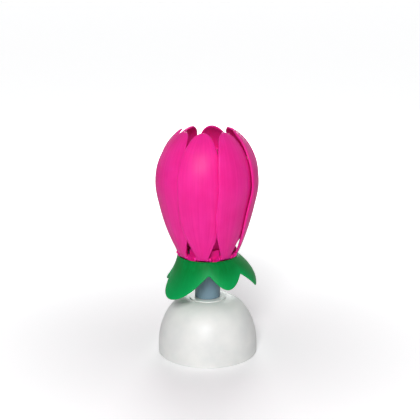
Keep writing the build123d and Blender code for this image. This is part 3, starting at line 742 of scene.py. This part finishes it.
paper_tube, tree, shader = start_material("rolled_paper")
wraps = bands(tree, place_on(tree, turn=(0, 0.45, 0)), size=0.006, along="Z", profile="SAW")
fibres = noise(tree, place_on(tree, stretch=(1, 1, 6)), size=0.0012, detail=5.0)
tree.links.new(
    blend_colours(tree, fibres, paint(228, 214, 184), paint(204, 186, 150)), shader.inputs["Base Color"])
rough_paper = relief(tree, fibres, depth=0.00003)
tree.links.new(relief(tree, wraps, depth=0.00012, under=rough_paper), shader.inputs["Normal"])
shader.inputs["Roughness"].default_value = 0.8
powder = moulded(
    "pressed_powder", light=paint(92, 90, 88), dark=paint(66, 65, 64), gloss=0.9, grain=0.0005,
    cloud=0.0015)
fuse_paper, tree, shader = start_material("fuse_paper")
fibres = noise(tree, place_on(tree), size=0.0005, detail=4.0)
tree.links.new(
    blend_colours(tree, fibres, paint(122, 148, 102), paint(90, 116, 78)), shader.inputs["Base Color"])
tree.links.new(relief(tree, fibres, depth=0.00005), shader.inputs["Normal"])
shader.inputs["Roughness"].default_value = 0.85
dress("fountain_tube", paper_tube)
dress("fountain_charge", powder)

fuse_r = 0.7
fuse_turns = 5
fuse_steps = 60
fuse_low, fuse_high = (corner.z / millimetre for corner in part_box("fountain_fuse"))
bm = bmesh.new()
twisted_strand(bm, fuse_r, fuse_low, fuse_high, fuse_turns, fuse_steps)
fuse = to_object(bm, "twisted_fuse")
fuse.data.materials.append(fuse_paper)
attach(fuse, "flower")
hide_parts("fountain_fuse")

# Inner bud. Six fixed petals, moulded like the outer ones but shorter, which stand on the carrier
# round the fountain on small glued feet.

bud_pink = petal_pink.copy()
bud_pink.name = "bud_magenta"
bud_count = 6
bud_first_angle = -75
bud_foot_z = 63.2
bud_height = 43.3
bud_wall = 1.2
bud_base_r = 10.6
bud_belly_r = 22.6
bud_base_half_w = 5.1
bud_belly_half_w = 13.6
bud_pinwheel_angle = 4.8
bud_midrib_height = 0.2
bud_rows = 30
bud_sections = [
    (0.0, 0.0, 0.0, 0.0),
    (0.05, 0.19, 0.15, 0.0),
    (0.12, 0.43, 0.36, 0.3),
    (0.24, 0.68, 0.58, 0.8),
    (0.40, 0.885, 0.84, 1.0),
    (0.58, 1.0, 1.0, 1.0),
    (0.76, 0.912, 0.846, 1.0),
    (0.90, 0.662, 0.45, 1.0),
    (0.97, 0.434, 0.01, 1.0),
    (1.0, 0.28, -0.44, 1.0),
]
bud_foot_inset = 1.9
bud_foot_height = 1.0
bud_foot_size = (2.6, 5.2, bud_foot_height)


def bud_ribs(across, share):
    """Midrib of an inner petal."""
    return bud_midrib_height * bump_of(across, midrib_half_w) * max(0.0, 1 - share ** 2)


for index in range(bud_count):
    turn = bud_first_angle + 360 * index / bud_count
    bm = bmesh.new()
    spoon_grid(
        bm, bud_sections, bud_foot_z, bud_height, (bud_base_r, bud_belly_r),
        (bud_base_half_w, bud_belly_half_w), bud_pinwheel_angle, bud_rows, bud_ribs)
    bud_petal = to_object(bm, f"bud_petal_{index + 1}", turn)
    give_wall(bud_petal, bud_wall)
    bm = bmesh.new()
    rounded_block(bm, bud_foot_size, (bud_base_r - bud_foot_inset, 0, bud_foot_z + bud_foot_height / 2))
    bud_foot = to_object(bm, f"bud_foot_{index + 1}", turn)
    for piece in (bud_petal, bud_foot):
        piece.data.materials.append(bud_pink)
        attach(piece, "flower")
        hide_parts("inner_petals")

# Table, light and camera. A plain pale sweep, a soft window in front, a weak fill from the right,
# another from behind, and the view from a little above that shows the closed bud.

sweep_reach = 40.0
sweep_drop = 0.0002
shade_r = 0.04
bright_r = 0.3
shade_glow = 0.16
bright_glow = 0.8
bm = bmesh.new()
bmesh.ops.create_grid(bm, x_segments=1, y_segments=1, size=sweep_reach)
mesh = bpy.data.meshes.new("table_top")
bm.to_mesh(mesh)
bm.free()
table = bpy.data.objects.new("table_top", mesh)
bpy.context.scene.collection.objects.link(table)
table.location = (0, 0, -sweep_drop)
pale, tree, shader = start_material("pale_table")
faint = noise(tree, place_on(tree), size=0.3)
tree.links.new(
    blend_colours(tree, faint, paint(244, 244, 244), paint(240, 240, 241)), shader.inputs["Base Color"])
shader.inputs["Roughness"].default_value = 0.9
distance = tree.nodes.new("ShaderNodeVectorMath")
distance.operation = "LENGTH"
tree.links.new(place_on(tree), distance.inputs[0])
lift = ramp(tree, distance.outputs["Value"], shade_r, bright_r, shade_glow, bright_glow)
only_seen = tree.nodes.new("ShaderNodeMath")
only_seen.operation = "MULTIPLY"
tree.links.new(lift, only_seen.inputs[0])
tree.links.new(tree.nodes.new("ShaderNodeLightPath").outputs["Is Camera Ray"], only_seen.inputs[1])
shader.inputs["Emission Color"].default_value = (1, 1, 1, 1)
tree.links.new(only_seen.outputs[0], shader.inputs["Emission Strength"])
table.data.materials.append(pale)

world = bpy.data.worlds.new("studio")
bpy.context.scene.world = world
world.use_nodes = True
tree = world.node_tree
tree.nodes.clear()
output = tree.nodes.new("ShaderNodeOutputWorld")
seen = tree.nodes.new("ShaderNodeBackground")
seen.inputs["Color"].default_value = (1, 1, 1, 1)
seen.inputs["Strength"].default_value = 1.0
unseen = tree.nodes.new("ShaderNodeBackground")
unseen.inputs["Color"].default_value = (0.93, 0.96, 1.0, 1)
unseen.inputs["Strength"].default_value = 0.13
path = tree.nodes.new("ShaderNodeLightPath")
rays = path.outputs["Is Camera Ray"]
for other in ("Is Glossy Ray", "Is Transmission Ray"):
    either = tree.nodes.new("ShaderNodeMath")
    either.operation = "MAXIMUM"
    tree.links.new(rays, either.inputs[0])
    tree.links.new(path.outputs[other], either.inputs[1])
    rays = either.outputs[0]
mix = tree.nodes.new("ShaderNodeMixShader")
tree.links.new(rays, mix.inputs["Fac"])
tree.links.new(unseen.outputs["Background"], mix.inputs[1])
tree.links.new(seen.outputs["Background"], mix.inputs[2])
tree.links.new(mix.outputs["Shader"], output.inputs["Surface"])

bud_middle = Vector((0, 0, 0.09))


def soft_light(name, spot, size, power):
    """Square softbox that faces the bud."""
    lamp = bpy.data.lights.new(name, "AREA")
    lamp.shape = "SQUARE"
    lamp.size = size
    lamp.energy = power
    holder = bpy.data.objects.new(name, lamp)
    holder.location = spot
    holder.rotation_euler = (bud_middle - Vector(spot)).to_track_quat("-Z", "Y").to_euler()
    bpy.context.scene.collection.objects.link(holder)


soft_light("front_window", spot=(-0.1, -0.88, 0.58), size=0.3, power=8.2)
soft_light("side_fill", spot=(0.8, -0.35, 0.4), size=0.5, power=0.4)
soft_light("back_fill", spot=(0.05, 1.0, 0.42), size=0.5, power=5.0)

lens = bpy.data.cameras.new("view")
lens.lens = 72.9
lens.sensor_width = 36.0
lens.clip_start = 0.01
camera = bpy.data.objects.new("view", lens)
camera.location = (0.0014, -0.4716, 0.2022)
camera_target = Vector((0.0014, 0, 0.0846))
camera.rotation_euler = (camera_target - camera.location).to_track_quat("-Z", "Y").to_euler()
bpy.context.scene.collection.objects.link(camera)
bpy.context.scene.camera = camera
bpy.context.scene.view_settings.view_transform = "Standard"
